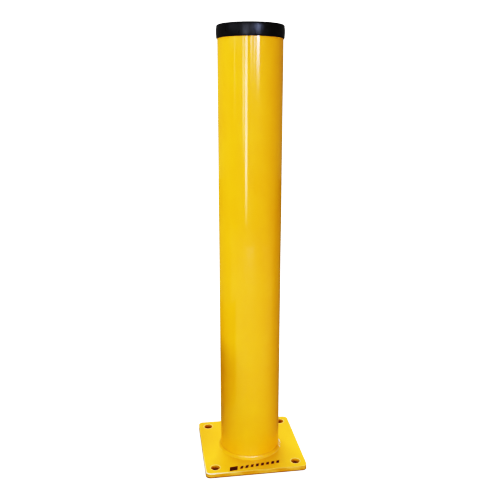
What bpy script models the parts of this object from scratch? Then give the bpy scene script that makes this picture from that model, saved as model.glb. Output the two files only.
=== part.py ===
"""Steel safety bollard: a round pipe welded to a square anchor plate, under a rubber cap that lifts off.

Units are metres and +Z is up. The origin is the centre of the plate's underside, which stands on the
floor, and the front is -Y. The pipe, the plate, the weld and the cap are four separate solids.
"""

import math

import bmesh
import bpy
from mathutils import Vector

MM = 0.001
INCH = 25.4 * MM

# Overall sizes
OVERALL_HEIGHT = 42 * INCH
GAP = 0.3 * MM  # clearance between solids that touch

# Plate
PLATE_SIDE = 10 * INCH
PLATE_THICKNESS = 0.5 * INCH
PLATE_CORNER_RADIUS = 0.5 * INCH
PLATE_CORNER_SEGMENTS = 6
PLATE_ARRIS = 0.8 * MM  # bevel of its edges and of the hole rims
HOLE_RADIUS = 0.4375 * INCH
HOLE_INSET = 1 * INCH  # from each side of the plate to a hole's centre
HOLE_SIDES = 48

# Pipe
PIPE_RADIUS = 3 * INCH
PIPE_WALL = 0.25 * INCH
PIPE_END_CHAMFER = 0.8 * MM
ROUND_STEPS = 96  # facets round the pipe, the weld and the cap

# Weld
WELD_LEG_OUT = 6.4 * MM  # along the plate
WELD_LEG_UP = 9 * MM  # along the pipe
WELD_CROWN = 0.8 * MM  # how far its face bulges past a straight fillet
WELD_FACE_SEGMENTS = 5

# Cap
CAP_HEIGHT = 30 * MM
CAP_SKIRT = 2.7 * MM  # thickness at the widest place
CAP_LIP = 0.9 * MM  # thickness at the lower edge
CAP_LIP_HEIGHT = 8 * MM  # over which the skirt tapers in to the lip
CAP_TOP = 4 * MM  # thickness of the disc
CAP_TOP_ROUND = 3 * MM  # radius of the top edge
CAP_DRAFT = 0.3 * MM  # how much narrower the skirt is at the top than at its widest
CAP_CURVE_SEGMENTS = 4

# Heights that follow from them
PLATE_TOP = PLATE_THICKNESS
PIPE_FOOT = PLATE_TOP + GAP
CAP_UNDERSIDE = OVERALL_HEIGHT - CAP_TOP
PIPE_TOP = CAP_UNDERSIDE - GAP
CAP_EDGE = OVERALL_HEIGHT - CAP_HEIGHT

SHARP_ANGLE = math.radians(30)
CUTTER_MARGIN = 5 * MM
MERGE_DISTANCE = 0.01 * MM

YELLOW = (0.85, 0.49, 0.012, 1.0)
BLACK = (0.02, 0.02, 0.021, 1.0)


def clear_scene():
    for obj in list(bpy.data.objects):
        bpy.data.objects.remove(obj, do_unlink=True)


def new_collection(name):
    collection = bpy.data.collections.new(name)
    bpy.context.scene.collection.children.link(collection)
    return collection


def make_material(name, colour, roughness, metallic):
    material = bpy.data.materials.new(name)
    material.use_nodes = True
    shader = material.node_tree.nodes["Principled BSDF"]
    shader.inputs["Base Color"].default_value = colour
    shader.inputs["Roughness"].default_value = roughness
    shader.inputs["Metallic"].default_value = metallic
    material.diffuse_color = colour
    return material


def add_object(name, mesh, collection, material=None):
    obj = bpy.data.objects.new(name, mesh)
    collection.objects.link(obj)
    if material:
        mesh.materials.append(material)
    return obj


def keep_evaluated(obj):
    """Puts the result of the object's modifiers in its mesh, with round faces smooth and corners sharp."""
    graph = bpy.context.evaluated_depsgraph_get()
    mesh = bpy.data.meshes.new_from_object(obj.evaluated_get(graph))
    obj.modifiers.clear()
    obj.data = mesh
    mesh.shade_smooth()
    mesh.set_sharp_from_angle(angle=SHARP_ANGLE)


def arc(centre_x, centre_z, radius, start, end, segments):
    """Points (x, z) on an arc, its angles in degrees from +X towards +Z."""
    points = []
    for step in range(segments + 1):
        angle = math.radians(start + (end - start) * step / segments)
        points.append((centre_x + radius * math.cos(angle), centre_z + radius * math.sin(angle)))
    return points


def turned(name, profile, closed, collection, material):
    """A solid of revolution about Z. The profile's (x, z) points run down its outer side."""
    mesh = bpy.data.meshes.new(name)
    edges = [(i, i + 1) for i in range(len(profile) - 1)]
    if closed:
        edges.append((len(profile) - 1, 0))
    mesh.from_pydata([(x, 0, z) for x, z in profile], edges, [])
    obj = add_object(name, mesh, collection, material)
    screw = obj.modifiers.new("turn", "SCREW")
    screw.steps = ROUND_STEPS
    screw.render_steps = ROUND_STEPS
    screw.use_merge_vertices = True
    screw.merge_threshold = MERGE_DISTANCE
    keep_evaluated(obj)
    return obj


def rounded_block(name, side, height, corner_radius, collection, material):
    """A square block that stands on z = 0, its four upright edges rounded."""
    bm = bmesh.new()
    bmesh.ops.create_cube(bm, size=1)
    bmesh.ops.scale(bm, verts=bm.verts, vec=(side, side, height))
    bmesh.ops.translate(bm, verts=bm.verts, vec=(0, 0, height / 2))
    upright = [edge for edge in bm.edges if edge.verts[0].co.xy == edge.verts[1].co.xy]
    bmesh.ops.bevel(
        bm,
        geom=upright,
        offset=corner_radius,
        segments=PLATE_CORNER_SEGMENTS,
        profile=0.5,
        affect="EDGES",
    )
    mesh = bpy.data.meshes.new(name)
    bm.to_mesh(mesh)
    bm.free()
    return add_object(name, mesh, collection, material)


def hole_cutter(name, centre, collection):
    """An upright cylinder that runs past both faces of the plate."""
    bm = bmesh.new()
    bmesh.ops.create_cone(
        bm,
        cap_ends=True,
        segments=HOLE_SIDES,
        radius1=HOLE_RADIUS,
        radius2=HOLE_RADIUS,
        depth=PLATE_THICKNESS + 2 * CUTTER_MARGIN,
    )
    mesh = bpy.data.meshes.new(name)
    bm.to_mesh(mesh)
    bm.free()
    cutter = add_object(name, mesh, collection)
    cutter.location = centre
    cutter.hide_render = True
    cutter.display_type = "WIRE"
    return cutter


def hole_centres():
    offset = PLATE_SIDE / 2 - HOLE_INSET
    return [Vector((x, y, PLATE_THICKNESS / 2)) for x in (-offset, offset) for y in (-offset, offset)]


def make_base_plate(collection, cutters, material):
    plate = rounded_block(
        "base_plate", PLATE_SIDE, PLATE_THICKNESS, PLATE_CORNER_RADIUS, collection, material
    )
    for number, centre in enumerate(hole_centres(), start=1):
        cut = plate.modifiers.new(f"hole_{number}", "BOOLEAN")
        cut.operation = "DIFFERENCE"
        cut.solver = "EXACT"
        cut.object = hole_cutter(f"hole_cutter_{number}", centre, cutters)
    round_edges = plate.modifiers.new("arris", "BEVEL")
    round_edges.width = PLATE_ARRIS
    round_edges.segments = 1
    round_edges.limit_method = "ANGLE"
    round_edges.angle_limit = SHARP_ANGLE
    bpy.context.view_layer.update()
    keep_evaluated(plate)
    return plate


def make_post_tube(collection, material):
    inner = PIPE_RADIUS - PIPE_WALL
    profile = [
        (PIPE_RADIUS - PIPE_END_CHAMFER, PIPE_TOP),
        (PIPE_RADIUS, PIPE_TOP - PIPE_END_CHAMFER),
        (PIPE_RADIUS, PIPE_FOOT),
        (inner, PIPE_FOOT),
        (inner, PIPE_TOP - PIPE_END_CHAMFER),
        (inner + PIPE_END_CHAMFER, PIPE_TOP),
    ]
    return turned("post_tube", profile, True, collection, material)


def make_weld_bead(collection, material):
    inner = PIPE_RADIUS + GAP
    foot = PLATE_TOP + GAP
    top = Vector((inner, foot + WELD_LEG_UP))
    toe = Vector((inner + WELD_LEG_OUT, foot))
    face = toe - top
    outward = Vector((-face.y, face.x)).normalized()
    profile = []
    for step in range(WELD_FACE_SEGMENTS + 1):
        share = step / WELD_FACE_SEGMENTS
        bulge = WELD_CROWN * math.sin(math.pi * share)
        profile.append(tuple(top + face * share + outward * bulge))
    profile.append((inner, foot))
    return turned("weld_bead", profile, True, collection, material)


def make_end_cap(collection, material):
    inner = PIPE_RADIUS + GAP
    widest = inner + CAP_SKIRT
    shoulder = widest - CAP_DRAFT
    profile = [(0, OVERALL_HEIGHT)]
    profile += arc(
        shoulder - CAP_TOP_ROUND,
        OVERALL_HEIGHT - CAP_TOP_ROUND,
        CAP_TOP_ROUND,
        90,
        0,
        CAP_CURVE_SEGMENTS,
    )
    for step in range(CAP_CURVE_SEGMENTS + 1):
        angle = math.pi / 2 * step / CAP_CURVE_SEGMENTS
        radius = inner + CAP_LIP + (CAP_SKIRT - CAP_LIP) * math.cos(angle)
        profile.append((radius, CAP_EDGE + CAP_LIP_HEIGHT * (1 - math.sin(angle))))
    profile.append((inner, CAP_EDGE))
    profile.append((inner, CAP_UNDERSIDE))
    profile.append((0, CAP_UNDERSIDE))
    return turned("end_cap", profile, False, collection, material)


def main():
    clear_scene()
    parts = new_collection("steel_safety_bollard")
    cutters = new_collection("cutters")
    yellow = make_material("yellow_powder_coat", YELLOW, 0.3, 0.0)
    rubber = make_material("black_rubber", BLACK, 0.55, 0.0)
    make_base_plate(parts, cutters, yellow)
    make_post_tube(parts, yellow)
    make_weld_bead(parts, yellow)
    make_end_cap(parts, rubber)


main()
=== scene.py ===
"""Looks of the steel safety bollard: powder-coated pipe, plate and weld, rubber cap, and a plain studio.

Everything is in metres in the CAD frame: +Z up, the plate's underside on z = 0, the front at -Y.
"""

import math

import bmesh
import bpy
from mathutils import Matrix, Vector, noise


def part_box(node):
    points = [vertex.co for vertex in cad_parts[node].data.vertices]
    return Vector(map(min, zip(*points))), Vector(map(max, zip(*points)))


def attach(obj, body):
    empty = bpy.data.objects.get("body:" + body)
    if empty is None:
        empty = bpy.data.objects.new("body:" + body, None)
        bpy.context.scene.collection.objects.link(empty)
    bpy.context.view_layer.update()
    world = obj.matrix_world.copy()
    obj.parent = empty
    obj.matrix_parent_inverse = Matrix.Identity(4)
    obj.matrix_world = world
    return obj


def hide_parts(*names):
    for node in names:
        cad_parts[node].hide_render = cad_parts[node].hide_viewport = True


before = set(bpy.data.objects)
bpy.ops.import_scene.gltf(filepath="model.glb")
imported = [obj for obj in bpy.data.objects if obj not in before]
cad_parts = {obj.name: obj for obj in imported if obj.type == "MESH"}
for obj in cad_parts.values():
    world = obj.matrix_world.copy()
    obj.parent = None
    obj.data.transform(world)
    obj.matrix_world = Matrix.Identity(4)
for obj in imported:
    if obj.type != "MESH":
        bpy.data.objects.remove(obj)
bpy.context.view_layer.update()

MM = 0.001

# Sizes read from the frame
PLATE_LOW, PLATE_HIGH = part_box("base_plate")
PIPE_LOW, PIPE_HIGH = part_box("post_tube")
WELD_LOW, WELD_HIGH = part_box("weld_bead")
CAP_LOW, CAP_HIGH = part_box("end_cap")
PLATE_HALF = PLATE_HIGH.x
PLATE_TOP = PLATE_HIGH.z
PIPE_RADIUS = PIPE_HIGH.x
CAP_RADIUS = CAP_HIGH.x

# Sizes that the frame doesn't give
PIPE_WALL = 6.35 * MM
PIPE_RIM = 0.8 * MM  # rounding of the pipe's top edges
HOLE_INSET = 25.4 * MM
HOLE_OFFSET = PLATE_HALF - HOLE_INSET
HOLE_RADIUS = 11.11 * MM
PLATE_CORNER_RADIUS = 12.7 * MM
PLATE_CORNER_CENTRE = PLATE_HALF - PLATE_CORNER_RADIUS
PLATE_ARRIS = 1.8 * MM
WELD_GLINT = (78.6 * MM, -12.2 * MM, 17.5 * MM)  # where a painted glint sits on the bead
CAP_GAP = 0.3 * MM  # clearance between the cap and the pipe

# Round pieces
ROUND_SEGMENTS = 256
AXIS_RADIUS = 1e-6  # a profile point nearer to the axis than this is one point on it


# ---------------------------------------------------------------- mesh helpers

def smooth_object(name, mesh, sharp_degrees=40):
    """Links a mesh as an object, shaded smooth except at its sharp corners."""
    mesh.shade_smooth()
    mesh.set_sharp_from_angle(angle=math.radians(sharp_degrees))
    obj = bpy.data.objects.new(name, mesh)
    bpy.context.scene.collection.objects.link(obj)
    return obj


def arc(centre, radius, start, end, segments):
    """Points (radius, z) along an arc, its angles in degrees from outward towards up."""
    points = []
    for step in range(segments + 1):
        angle = math.radians(start + (end - start) * step / segments)
        points.append((centre[0] + radius * math.cos(angle), centre[1] + radius * math.sin(angle)))
    return points


def stretch(start, end, steps):
    """Evenly spaced points from start to end, without the end."""
    first, last = Vector(start), Vector(end)
    return [tuple(first.lerp(last, step / steps)) for step in range(steps)]


def turned_mesh(name, profile, segments, closed, shift=None):
    """A surface of revolution about Z. shift(angle, radius, z) may move each point to a new (radius, z)."""
    bm = bmesh.new()
    rings = []
    for radius, z in profile:
        if radius < AXIS_RADIUS:
            rings.append([bm.verts.new((0, 0, z))])
            continue
        ring = []
        for step in range(segments):
            angle = 2 * math.pi * step / segments
            at_radius, at_z = shift(angle, radius, z) if shift else (radius, z)
            ring.append(bm.verts.new((at_radius * math.cos(angle), at_radius * math.sin(angle), at_z)))
        rings.append(ring)
    pairs = list(zip(rings, rings[1:]))
    if closed:
        pairs.append((rings[-1], rings[0]))
    for upper, lower in pairs:
        for step in range(segments):
            after = (step + 1) % segments
            corners = [upper[step % len(upper)], lower[step % len(lower)]]
            corners += [lower[after % len(lower)], upper[after % len(upper)]]
            bm.faces.new(list(dict.fromkeys(corners)))
    bmesh.ops.recalc_face_normals(bm, faces=bm.faces)
    mesh = bpy.data.meshes.new(name)
    bm.to_mesh(mesh)
    bm.free()
    return mesh


# ---------------------------------------------------------------- material helpers

class Graph:
    """Short calls for building one material's nodes."""

    def __init__(self, name):
        self.material = bpy.data.materials.new(name)
        self.material.use_nodes = True
        self.nodes = self.material.node_tree.nodes
        self.links = self.material.node_tree.links
        self.shader = self.nodes["Principled BSDF"]
        self.place = self.nodes.new("ShaderNodeTexCoord").outputs["Object"]

    def link(self, value, socket):
        if hasattr(value, "is_linked"):
            self.links.new(value, socket)
        else:
            socket.default_value = value

    def scaled(self, scale):
        """Object coordinates times a scale for each axis."""
        node = self.nodes.new("ShaderNodeMapping")
        node.inputs["Scale"].default_value = scale
        self.links.new(self.place, node.inputs["Vector"])
        return node.outputs["Vector"]

    def noise(self, scale, detail=2.0, roughness=0.5, where=None):
        node = self.nodes.new("ShaderNodeTexNoise")
        node.inputs["Scale"].default_value = scale
        node.inputs["Detail"].default_value = detail
        node.inputs["Roughness"].default_value = roughness
        self.links.new(where or self.place, node.inputs["Vector"])
        return node.outputs["Fac"]

    def ramp(self, value, low, high, to_low=0.0, to_high=1.0):
        node = self.nodes.new("ShaderNodeMapRange")
        node.inputs["From Min"].default_value = low
        node.inputs["From Max"].default_value = high
        node.inputs["To Min"].default_value = to_low
        node.inputs["To Max"].default_value = to_high
        self.links.new(value, node.inputs["Value"])
        return node.outputs["Result"]

    def math(self, operation, first, second):
        node = self.nodes.new("ShaderNodeMath")
        node.operation = operation
        self.link(first, node.inputs[0])
        self.link(second, node.inputs[1])
        return node.outputs[0]

    def vector(self, operation, first, second=(0, 0, 0)):
        node = self.nodes.new("ShaderNodeVectorMath")
        node.operation = operation
        self.link(first, node.inputs[0])
        self.link(second, node.inputs[1])
        return node.outputs["Value" if operation == "LENGTH" else "Vector"]

    def axis(self, name):
        """One object coordinate."""
        node = self.nodes.new("ShaderNodeSeparateXYZ")
        self.links.new(self.place, node.inputs[0])
        return node.outputs[name]

    def beyond(self, corner):
        """How far a point seen from above lies outside a square with this half side."""
        over = self.vector("SUBTRACT", self.vector("ABSOLUTE", self.place), (corner, corner, 100))
        return self.vector("LENGTH", self.vector("MAXIMUM", over))

    def mix(self, factor, first, second):
        node = self.nodes.new("ShaderNodeMix")
        node.data_type = "RGBA"
        self.link(factor, node.inputs["Factor"])
        self.link(first, node.inputs["A"])
        self.link(second, node.inputs["B"])
        return node.outputs["Result"]

    def bump(self, height, strength, distance, before=None):
        node = self.nodes.new("ShaderNodeBump")
        node.inputs["Strength"].default_value = strength
        node.inputs["Distance"].default_value = distance
        self.links.new(height, node.inputs["Height"])
        if before:
            self.links.new(before, node.inputs["Normal"])
        return node.outputs["Normal"]


YELLOW = (0.85, 0.485, 0.019, 1)
YELLOW_DEEP = (0.83, 0.45, 0.016, 1)
# Painted light: the plate's yellow is a lighter copy of the pipe's same coat
PLATE_YELLOW_LIT = (0.88, 0.525, 0.036, 1)
PLATE_YELLOW_LIT_DEEP = (0.86, 0.495, 0.032, 1)
# Painted shade for the back of the plate's top
PLATE_BACK_SHADE = (0.765, 0.43, 0.031, 1)
# Painted highlights: on the plate's arrises and hole rims, and along the weld's toe
HIGHLIGHT_PALE = (0.95, 0.78, 0.38, 1)
HIGHLIGHT_WHITE = (1.0, 0.87, 0.60, 1)
# Painted glint on the weld
GLINT_WHITE = (1.0, 0.95, 0.85, 1)
# Painted shade, painted reflection and painted shadow for the plate's sides; the shade brown also darkens
# the weld where it meets the pipe
SHADE_BROWN = (0.67, 0.32, 0.012, 1)
SIDE_REFLECTION_PALE = (0.80, 0.52, 0.10, 1)
FOOT_SHADOW_DARK = (0.28, 0.11, 0.010, 1)
# Painted shade down the hole walls, from the rim colour to the deep one
HOLE_RIM = (0.85, 0.46, 0.020, 1)
HOLE_DEEP_SHADE = (0.34, 0.075, 0.015, 1)
RUBBER_BLACK = (0.012, 0.012, 0.012, 1)
RUBBER_BLOOM = (0.019, 0.018, 0.018, 1)
INK_DARK = (0.040, 0.004, 0.009, 1)
INK_WORN = (0.10, 0.016, 0.012, 1)
WHITE = (1, 1, 1, 1)


def cloudy(g, colour, deeper):
    """Soft clouds of a deeper colour, as where the coat is thicker."""
    return g.mix(g.ramp(g.noise(9, 4, 0.55), 0.35, 0.65), colour, deeper)


def finish_coat(g, colour):
    """Gives a material its colour, the orange peel and the hard clear gloss of powder coat."""
    g.link(colour, g.shader.inputs["Base Color"])
    g.link(g.ramp(g.noise(60, 3), 0.3, 0.7, 0.42, 0.52), g.shader.inputs["Roughness"])
    peel = g.bump(g.noise(330, 1.5, 0.4), 0.05, 0.4 * MM)
    peel = g.bump(g.noise(70, 1.0, 0.3), 0.05, 1.0 * MM, peel)
    g.link(peel, g.shader.inputs["Normal"])
    g.shader.inputs["Specular IOR Level"].default_value = 0.08
    g.shader.inputs["Coat Weight"].default_value = 0.6
    g.shader.inputs["Coat Roughness"].default_value = 0.04
    return g.material


def powder_coat():
    """The pipe's plain powder coat."""
    g = Graph("yellow_powder_coat_look")
    return finish_coat(g, cloudy(g, YELLOW, YELLOW_DEEP))


def plate_coat():
    """Powder coat with painted highlights on the arrises and hole rims, painted shade and reflections on
    the sides, and painted shade down the holes and towards the back.
    """
    g = Graph("yellow_plate_coat_look")
    z = g.axis("Z")
    below_top = g.ramp(z, PLATE_TOP - 0.4 * MM, PLATE_TOP - 1.6 * MM)
    near_top = g.ramp(z, PLATE_TOP - 3.0 * MM, PLATE_TOP - 1.8 * MM)

    # Painted shade on the sides, with painted pale reflection streaks and a painted shadow line along the
    # foot
    outline = g.beyond(PLATE_CORNER_CENTRE)
    side = g.ramp(outline, PLATE_CORNER_RADIUS - 0.8 * MM, PLATE_CORNER_RADIUS - 0.3 * MM)
    side = g.math("MULTIPLY", side, below_top)
    reflection_streaks = g.ramp(g.noise(1, 3, 0.6, g.scaled((22, 22, 300))), 0.42, 0.62)
    side_shade = g.mix(reflection_streaks, SHADE_BROWN, SIDE_REFLECTION_PALE)
    side_shade = g.mix(g.ramp(z, 3.4 * MM, 2.0 * MM), side_shade, FOOT_SHADOW_DARK)

    # Painted shade: the top is darker towards the back
    face = cloudy(g, PLATE_YELLOW_LIT, PLATE_YELLOW_LIT_DEEP)
    face = g.mix(g.ramp(g.axis("Y"), -60 * MM, 100 * MM), face, PLATE_BACK_SHADE)
    colour = g.mix(side, face, side_shade)

    # Painted highlight: the arris is pale, whitest at the front left corner
    arris = g.ramp(outline, PLATE_CORNER_RADIUS - 2.2 * MM, PLATE_CORNER_RADIUS - 1.2 * MM)
    arris = g.math("MULTIPLY", arris, near_top)
    from_corner = g.vector("SUBTRACT", g.place, (-PLATE_HALF, -PLATE_HALF, PLATE_TOP))
    from_corner = g.vector("LENGTH", from_corner)
    wear_and_highlight = g.math("MULTIPLY", arris, g.ramp(from_corner, 20 * MM, 110 * MM, 1, 0.2))
    edge = g.mix(g.ramp(from_corner, 20 * MM, 60 * MM), HIGHLIGHT_WHITE, HIGHLIGHT_PALE)
    colour = g.mix(wear_and_highlight, colour, edge)

    # The holes have a painted highlight on the rim and painted shade that darkens downwards
    from_hole = g.vector("ABSOLUTE", g.place)
    from_hole = g.vector("SUBTRACT", from_hole, (HOLE_OFFSET, HOLE_OFFSET, 0))
    from_hole = g.vector("LENGTH", g.vector("MULTIPLY", from_hole, (1, 1, 0)))
    rim = g.ramp(from_hole, HOLE_RADIUS + 3.0 * MM, HOLE_RADIUS + 1.6 * MM, 0, 0.45)
    colour = g.mix(g.math("MULTIPLY", rim, near_top), colour, HIGHLIGHT_PALE)
    wall = g.ramp(from_hole, HOLE_RADIUS + 0.9 * MM, HOLE_RADIUS + 0.3 * MM)
    wall = g.math("MULTIPLY", wall, below_top)
    depth = g.ramp(z, PLATE_TOP - 5 * MM, PLATE_TOP - 12 * MM)
    colour = g.mix(wall, colour, g.mix(depth, HOLE_RIM, HOLE_DEEP_SHADE))
    return finish_coat(g, colour)


def weld_coat():
    """Powder coat with a painted highlight along the bead's toe, painted shade where the bead meets the
    pipe and a painted glint on one side.
    """
    g = Graph("yellow_weld_coat_look")
    z = g.axis("Z")
    patchy = g.ramp(g.noise(40, 2), 0.35, 0.65, 0.03, 0.22)
    # Painted highlight along the toe, broken into patches; painted shade at the top, where the bead meets
    # the pipe
    toe = g.ramp(z, PLATE_TOP + 1.8 * MM, PLATE_TOP + 1.0 * MM)
    top = g.ramp(z, WELD_HIGH.z - 3.4 * MM, WELD_HIGH.z - 2.0 * MM, 0, 0.8)
    colour = g.mix(top, cloudy(g, YELLOW, YELLOW_DEEP), SHADE_BROWN)
    colour = g.mix(g.math("MULTIPLY", toe, patchy), colour, HIGHLIGHT_PALE)
    # Painted glint: a white patch on the bead's front right
    from_glint = g.vector("LENGTH", g.vector("SUBTRACT", g.place, WELD_GLINT))
    glint = g.ramp(from_glint, 24 * MM, 13 * MM)
    glint = g.math("MULTIPLY", glint, g.ramp(g.noise(110, 1), 0.45, 0.55))
    return finish_coat(g, g.mix(glint, colour, GLINT_WHITE))


def cap_rubber():
    """Black moulded rubber: fine grain, faint grey bloom, a soft shine."""
    g = Graph("black_rubber_look")
    bloom = g.ramp(g.noise(45, 4, 0.6), 0.35, 0.75)
    g.link(g.mix(bloom, RUBBER_BLACK, RUBBER_BLOOM), g.shader.inputs["Base Color"])
    g.link(g.ramp(g.noise(120, 3), 0.3, 0.7, 0.27, 0.33), g.shader.inputs["Roughness"])
    g.link(g.bump(g.noise(900, 2), 0.05, 0.1 * MM), g.shader.inputs["Normal"])
    g.shader.inputs["Specular IOR Level"].default_value = 0.20
    return g.material


def ink():
    """Dark printing ink."""
    g = Graph("dark_ink")
    wear_and_highlight = g.ramp(g.noise(700, 3), 0.45, 0.75)
    g.link(g.mix(wear_and_highlight, INK_DARK, INK_WORN), g.shader.inputs["Base Color"])
    g.shader.inputs["Roughness"].default_value = 0.5
    return g.material


# ---------------------------------------------------------------- pieces

def make_pipe(material):
    """A tube that is open at both ends, with rounded edges at the top."""
    inner = PIPE_RADIUS - PIPE_WALL
    top = PIPE_HIGH.z
    below_rim = top - 4 * MM
    wave_height = 0.03 * MM
    profile = arc((PIPE_RADIUS - PIPE_RIM, top - PIPE_RIM), PIPE_RIM, 90, 0, 4)
    profile += stretch((PIPE_RADIUS, below_rim), (PIPE_RADIUS, PLATE_TOP), 60)
    profile += [(PIPE_RADIUS, PLATE_TOP), (inner, PLATE_TOP)]
    profile += arc((inner + PIPE_RIM, top - PIPE_RIM), PIPE_RIM, 180, 90, 4)

    def waves(angle, radius, z):
        """Rolled pipe is never quite true: shallow waves of a few hundredths of a millimetre."""
        where = Vector((2 * math.cos(angle), 2 * math.sin(angle), z * 9))
        return radius + wave_height * noise.noise(where), z

    pipe = smooth_object("pipe", turned_mesh("pipe", profile, ROUND_SEGMENTS, True, waves))
    pipe.data.materials.append(material)
    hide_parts("post_tube")
    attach(pipe, "post")
    return pipe


def hole_cutter(x, y):
    """A round bar that stands through the plate."""
    bm = bmesh.new()
    bmesh.ops.create_cone(
        bm, cap_ends=True, segments=96, radius1=HOLE_RADIUS, radius2=HOLE_RADIUS, depth=30 * MM
    )
    mesh = bpy.data.meshes.new("hole")
    bm.to_mesh(mesh)
    bm.free()
    cutter = bpy.data.objects.new("hole", mesh)
    bpy.context.scene.collection.objects.link(cutter)
    cutter.location = (x, y, PLATE_TOP / 2)
    return cutter


def make_plate(material):
    """A square plate with rounded corners, four anchor holes and a small round on every edge."""
    bm = bmesh.new()
    bmesh.ops.create_cube(bm, size=1)
    bmesh.ops.scale(bm, verts=bm.verts, vec=(2 * PLATE_HALF, 2 * PLATE_HALF, PLATE_TOP))
    bmesh.ops.translate(bm, verts=bm.verts, vec=(0, 0, PLATE_TOP / 2))
    upright = [edge for edge in bm.edges if edge.verts[0].co.xy == edge.verts[1].co.xy]
    bmesh.ops.bevel(
        bm, geom=upright, offset=PLATE_CORNER_RADIUS, segments=16, profile=0.5, affect="EDGES"
    )
    mesh = bpy.data.meshes.new("plate")
    bm.to_mesh(mesh)
    bm.free()
    plate = smooth_object("plate", mesh)
    places = [(x, y) for x in (-HOLE_OFFSET, HOLE_OFFSET) for y in (-HOLE_OFFSET, HOLE_OFFSET)]
    cutters = [hole_cutter(x, y) for x, y in places]
    for cutter in cutters:
        cut = plate.modifiers.new("hole", "BOOLEAN")
        cut.object = cutter
        cut.solver = "EXACT"
    edges = plate.modifiers.new("arris", "BEVEL")
    edges.width = PLATE_ARRIS
    edges.segments = 4
    edges.limit_method = "ANGLE"
    edges.angle_limit = math.radians(30)
    edges.harden_normals = True
    bpy.context.view_layer.update()
    graph = bpy.context.evaluated_depsgraph_get()
    final = bpy.data.meshes.new_from_object(plate.evaluated_get(graph))
    plate.modifiers.clear()
    plate.data = final
    for cutter in cutters:
        bpy.data.objects.remove(cutter)
    plate.data.materials.clear()
    plate.data.materials.append(material)
    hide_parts("base_plate")
    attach(plate, "post")
    return plate


def make_weld(material):
    """A fillet bead round the pipe's foot: wavy legs, and ripples that lean with the travel."""
    root_depth = 0.25 * MM  # how far its root lies inside the pipe and the plate
    leg_up = WELD_HIGH.z - PLATE_TOP
    leg_out = WELD_HIGH.x - PIPE_RADIUS
    flatness = 0.72  # 0 is a quarter ellipse, 1 is a straight face
    ripple_count = 118
    ripple_height = 0.3 * MM
    face_steps = 14
    off_axis = 1e-4  # an across of 0 would put a point on the axis

    def face_point(angle, across, up):
        """A point of the face, from across 0, up 1 on the pipe to across 1, up 0 on the plate."""
        where = Vector((3 * math.cos(angle), 3 * math.sin(angle), 5))
        width = 1 + 0.10 * noise.noise(where) + 0.05 * noise.noise(where * 3)
        crest = ripple_height * across * up * math.cos(ripple_count * angle + 1.3 * (across - up))
        out = across * (1 - flatness) + (1 - up) * flatness
        rise = up * (1 - flatness) + (1 - across) * flatness
        radius = PIPE_RADIUS - root_depth + (leg_out * width + root_depth) * out + crest * across
        z = PLATE_TOP - root_depth + (leg_up * width + root_depth) * rise + crest * up
        return radius, z

    def shift(angle, across, up):
        if up < 0:
            return PIPE_RADIUS - root_depth, PLATE_TOP - root_depth
        return face_point(angle, across, up)

    turns = [math.pi / 2 * step / face_steps for step in range(face_steps + 1)]
    profile = [(max(math.sin(turn), off_axis), math.cos(turn)) for turn in turns]
    root = (off_axis, -1)
    weld = turned_mesh("weld", profile + [root], 8 * ripple_count, True, shift)
    weld = smooth_object("weld", weld, 60)
    weld.data.materials.append(material)
    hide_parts("weld_bead")
    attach(weld, "post")
    return weld


def make_cap(material):
    """A cup with a slightly bellied skirt, rolled in to a thin lip at the bottom."""
    inner = PIPE_RADIUS + CAP_GAP
    top = CAP_HIGH.z
    bottom = CAP_LOW.z
    lip = inner + 0.9 * MM
    underside = PIPE_HIGH.z + CAP_GAP
    rounding = 3 * MM
    skirt_top = top - rounding
    skirt_foot = bottom + 7 * MM
    skirt_steps = 12
    lip_steps = 12
    belly = bottom + 14.5 * MM  # where the skirt is widest
    lean = 0.9 * MM  # how far it draws in from there to the top

    def skirt(z):
        return CAP_RADIUS - lean * ((z - belly) / (skirt_top - belly)) ** 2

    profile = [(0, top), (20 * MM, top), (50 * MM, top)]
    profile += arc((skirt(skirt_top) - rounding, skirt_top), rounding, 90, 9, 10)
    for step in range(1, skirt_steps):
        z = skirt_top + (skirt_foot - skirt_top) * step / skirt_steps
        profile.append((skirt(z), z))
    for step in range(lip_steps + 1):
        turn = math.pi / 2 * step / lip_steps
        radius = lip + (skirt(skirt_foot) - lip) * math.cos(turn)
        profile.append((radius, bottom + (skirt_foot - bottom) * (1 - math.sin(turn))))
    profile += [(inner, bottom), (inner, underside), (0, underside)]
    cap = smooth_object("cap", turned_mesh("cap", profile, ROUND_SEGMENTS, False), 50)
    cap.data.materials.append(material)
    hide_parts("end_cap")
    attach(cap, "cap")
    return cap


def make_marking(material):
    """A plain printed band along the plate's front: one broad slanted bar, then a row of narrow ones."""
    thickness = 0.08 * MM
    slant = 5 * MM
    narrow_start = -43 * MM
    narrow_pitch = 13.4 * MM
    turned = math.radians(7)
    place = Matrix.Translation((0, -106 * MM, PLATE_TOP)) @ Matrix.Rotation(turned, 4, "Z")
    bars = [(-70 * MM, 20 * MM, 16 * MM)]
    bars += [(narrow_start + narrow_pitch * number, 7.5 * MM, 11 * MM) for number in range(8)]
    bm = bmesh.new()
    for left, width, height in bars:
        corners = [(left, -height / 2), (left + width, -height / 2)]
        corners += [(x + slant, height / 2) for x in (left + width, left)]
        face = bm.faces.new([bm.verts.new(place @ Vector((x, y, 0))) for x, y in corners])
        raised = bmesh.ops.extrude_face_region(bm, geom=[face])
        moved = [item for item in raised["geom"] if isinstance(item, bmesh.types.BMVert)]
        bmesh.ops.translate(bm, verts=moved, vec=(0, 0, thickness))
    bmesh.ops.recalc_face_normals(bm, faces=bm.faces)
    mesh = bpy.data.meshes.new("marking")
    bm.to_mesh(mesh)
    bm.free()
    marking = bpy.data.objects.new("marking", mesh)
    bpy.context.scene.collection.objects.link(marking)
    mesh.materials.append(material)
    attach(marking, "post")
    return marking


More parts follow.
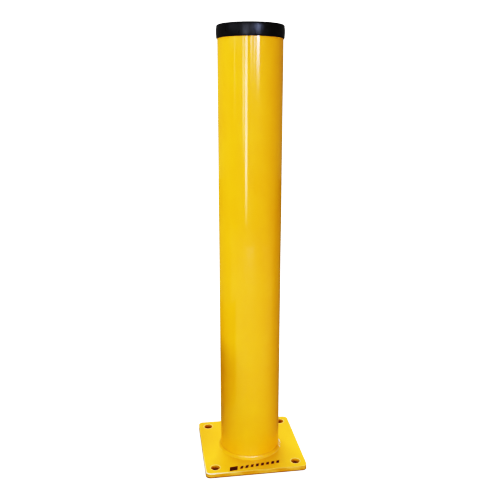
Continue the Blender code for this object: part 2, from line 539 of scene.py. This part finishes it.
# ---------------------------------------------------------------- studio

# The camera looks straight at the post's axis
CAMERA_BEARING = 0.1530  # radians from -Y towards -X
CAMERA_DISTANCE = 1.4922
CAMERA_HEIGHT = 0.8978
CAMERA_TILT = 0.2345  # radians below the horizon
CAMERA_ROLL = 0.0019
CAMERA_LENS = 44.714  # millimetres on a 36 mm sensor
FILM_WHITE = 1.2  # scene light that the picture shows as white
FILM_POWER = 1.8
FILM_KNEE = 0.25
BACKDROP_LIGHT = 2.0
FILL_LIGHT = 0.235
FLOOR_DROP = 0.2 * MM  # keeps the floor off the plate's underside


def around(bearing, distance, height):
    """A place at a bearing in degrees, from the camera's side of the post towards its right."""
    angle = math.radians(bearing) - CAMERA_BEARING
    return (distance * math.sin(angle), -distance * math.cos(angle), height)


def make_camera():
    """Looks at the post's axis from a little below its top."""
    data = bpy.data.cameras.new("camera")
    data.lens = CAMERA_LENS
    data.clip_start = 0.01
    camera = bpy.data.objects.new("camera", data)
    bpy.context.scene.collection.objects.link(camera)
    aim = Matrix.Rotation(-CAMERA_BEARING, 4, "Z")
    aim @= Matrix.Rotation(math.pi / 2 - CAMERA_TILT, 4, "X")
    aim @= Matrix.Rotation(CAMERA_ROLL, 4, "Z")
    camera.matrix_world = Matrix.Translation(around(0, CAMERA_DISTANCE, CAMERA_HEIGHT)) @ aim
    bpy.context.scene.camera = camera


def floor_paper():
    """White paper. What the camera sees of it glows, up to the plate's outline."""
    g = Graph("floor_paper")
    path = g.nodes.new("ShaderNodeLightPath").outputs
    mirrored = g.mix(g.ramp(g.axis("Y"), 0, -0.5), (0.08, 0.08, 0.08, 1), (0.65, 0.65, 0.65, 1))
    paper = g.mix(path["Is Glossy Ray"], (0.28, 0.28, 0.28, 1), mirrored)
    g.link(paper, g.shader.inputs["Base Color"])
    g.shader.inputs["Roughness"].default_value = 0.9
    g.shader.inputs["Specular IOR Level"].default_value = 0.1
    g.shader.inputs["Emission Color"].default_value = WHITE
    glow = g.ramp(g.vector("LENGTH", g.place), 0.2, 1.6, 1.3, 1.7)
    outline = g.beyond(PLATE_CORNER_CENTRE)
    beside = g.ramp(outline, PLATE_CORNER_RADIUS - 1.5 * MM, PLATE_CORNER_RADIUS + 1.5 * MM)
    shown = g.math("MULTIPLY", g.math("MULTIPLY", glow, beside), path["Is Camera Ray"])
    g.link(shown, g.shader.inputs["Emission Strength"])
    return g.material


def make_floor():
    bm = bmesh.new()
    bmesh.ops.create_circle(bm, cap_ends=True, segments=128, radius=6.0)
    mesh = bpy.data.meshes.new("floor")
    bm.to_mesh(mesh)
    bm.free()
    floor = bpy.data.objects.new("floor", mesh)
    bpy.context.scene.collection.objects.link(floor)
    floor.location.z = -FLOOR_DROP
    mesh.materials.append(floor_paper())


def make_light(name, place, target, width, height, power, colour):
    """A soft light that shows neither to the camera nor in the gloss."""
    data = bpy.data.lights.new(name, "AREA")
    data.shape = "RECTANGLE"
    data.size = width
    data.size_y = height
    data.energy = power
    data.color = colour
    light = bpy.data.objects.new(name, data)
    bpy.context.scene.collection.objects.link(light)
    facing = (Vector(target) - Vector(place)).to_track_quat("-Z", "Y")
    light.matrix_world = Matrix.Translation(place) @ facing.to_matrix().to_4x4()
    light.visible_camera = False
    light.visible_glossy = False


def make_world():
    """White to the camera, a dim white fill to everything else."""
    world = bpy.data.worlds.new("studio")
    bpy.context.scene.world = world
    world.use_nodes = True
    nodes, links = world.node_tree.nodes, world.node_tree.links
    nodes.clear()
    output = nodes.new("ShaderNodeOutputWorld")
    mixer = nodes.new("ShaderNodeMixShader")
    path = nodes.new("ShaderNodeLightPath")
    seen = nodes.new("ShaderNodeBackground")
    fill = nodes.new("ShaderNodeBackground")
    seen.inputs["Color"].default_value = WHITE
    seen.inputs["Strength"].default_value = BACKDROP_LIGHT
    fill.inputs["Color"].default_value = WHITE
    fill.inputs["Strength"].default_value = FILL_LIGHT
    links.new(path.outputs["Is Camera Ray"], mixer.inputs[0])
    links.new(fill.outputs[0], mixer.inputs[1])
    links.new(seen.outputs[0], mixer.inputs[2])
    links.new(mixer.outputs[0], output.inputs[0])


def film_response(value):
    """How a contrasty picture renders scene light from 0 to 1: a soft toe and a soft shoulder."""
    raised = value**FILM_POWER
    return (1 + FILM_KNEE) * raised / (raised + FILM_KNEE)


def set_film():
    """Sets the picture's tone curve."""
    settings = bpy.context.scene.view_settings
    settings.view_transform = "Standard"
    settings.use_curve_mapping = True
    mapping = settings.curve_mapping
    mapping.white_level = (FILM_WHITE, FILM_WHITE, FILM_WHITE)
    curve = mapping.curves[3]  # the one that acts on all three colours
    for value in (0.03, 0.08, 0.16, 0.28, 0.42, 0.6, 0.8):
        curve.points.new(value, film_response(value))
    mapping.update()


def make_card(name, bearing, distance, width, low, high, material):
    """An upright card that faces the post and that the camera doesn't see."""
    bm = bmesh.new()
    bmesh.ops.create_grid(bm, x_segments=1, y_segments=1, size=0.5)
    bmesh.ops.scale(bm, verts=bm.verts, vec=(width, high - low, 1))
    bmesh.ops.rotate(bm, verts=bm.verts, matrix=Matrix.Rotation(math.pi / 2, 3, "X"))
    bmesh.ops.translate(bm, verts=bm.verts, vec=(0, 0, (low + high) / 2))
    mesh = bpy.data.meshes.new(name)
    bm.to_mesh(mesh)
    bm.free()
    mesh.materials.append(material)
    card = bpy.data.objects.new(name, mesh)
    bpy.context.scene.collection.objects.link(card)
    card.location = around(bearing, distance, 0)
    card.rotation_euler.z = math.radians(bearing) - CAMERA_BEARING
    card.visible_camera = False
    return card


def window_glow(name, colour, strength, dark_below, full_above, fall):
    """Window light that fades away downwards."""
    g = Graph(name)
    g.shader.inputs["Base Color"].default_value = (0, 0, 0, 1)
    g.shader.inputs["Specular IOR Level"].default_value = 0
    g.shader.inputs["Emission Color"].default_value = (*colour, 1)
    fade = g.math("POWER", g.ramp(g.axis("Z"), dark_below, full_above), fall)
    g.link(g.math("MULTIPLY", fade, strength), g.shader.inputs["Emission Strength"])
    return g.material


def make_reflections():
    """What the gloss mirrors: tall windows to the left of the camera, and high panes on both sides.

    Each row: name, bearings it spans, colour, heights where it is dark and full, fall, strength.
    """
    distance = 3.0
    card_height = 2.0
    grey, blue = (0.75, 0.80, 1), (0.60, 0.68, 1)
    for name, start, end, colour, dark_below, full_above, fall, strength in (
        ("window", -17.9, -9.5, grey, 0.0, 0.45, 1, 15),
        ("window_side", -26.5, -20.1, grey, 0.45, 0.8, 1, 7.5),
        ("pane_narrow", 0.7, 4.6, grey, 0.75, 1.35, 3, 17),
        ("pane_middle", 10.9, 15.8, blue, 0.75, 1.35, 3, 25),
        ("pane_wide", 21.1, 31.5, blue, 0.75, 1.35, 3, 45),
        ("pane_haze", 4.6, 21.1, blue, 0.6, 1.35, 3, 5),
        ("pane_far", -56.0, -51.0, grey, 0.75, 1.1, 1, 4.5),
        ("haze_high", -75.0, -30.0, grey, 1.2, 1.5, 1, 3),
    ):
        width = 2 * distance * math.tan(math.radians((end - start) / 2))
        glow = window_glow(name + "_glow", colour, strength, dark_below, full_above, fall)
        card = make_card(name, (start + end) / 2, distance, width, 0, card_height, glow)
        card.visible_diffuse = False
        card.visible_shadow = False


def make_flag():
    """A low brown card that keeps the light on the left off the post's foot."""
    g = Graph("flag_brown")
    g.shader.inputs["Base Color"].default_value = (0.25, 0.08, 0.01, 1)
    g.shader.inputs["Roughness"].default_value = 0.9
    make_card("flag", -92, 0.22, 0.42, 0.05, 0.36, g.material)


def make_lights():
    """Broad fills, whose shapes don't show in the gloss."""
    foot, low, middle, high = (0, 0, 0), (0, 0, 0.4), (0, 0, 0.6), (0, 0, 1.0)
    white, warm = (1, 1, 1), (1, 0.62, 0.38)
    for name, place, target, width, height, power, colour in (
        ("front_left", around(-30, 2.5, 1.3), middle, 1.2, 1.0, 19, white),
        ("front_low", around(0, 2.5, 0.35), low, 1.2, 0.7, 24, white),
        ("right_low", around(60, 2.5, 0.35), low, 1.2, 0.7, 13, warm),
        ("left", around(-90, 2.0, 1.0), high, 0.8, 0.6, 16.5, white),
        ("back_left", around(-150, 2.5, 2.5), middle, 1.2, 1.0, 59, white),
        ("back", around(180, 2.5, 2.5), middle, 1.2, 1.0, 76, white),
        ("top", around(-120, 0.5, 3.0), foot, 1.2, 1.2, 27, white),
        ("top_front", around(20, 0.6, 3.0), foot, 1.2, 1.2, 9.5, white),
    ):
        make_light(name, place, target, width, height, power, colour)


def main():
    coat = powder_coat()
    make_camera()
    make_pipe(coat)
    make_plate(plate_coat())
    make_weld(weld_coat())
    make_cap(cap_rubber())
    make_marking(ink())
    make_floor()
    make_world()
    make_reflections()
    make_flag()
    make_lights()
    set_film()


main()
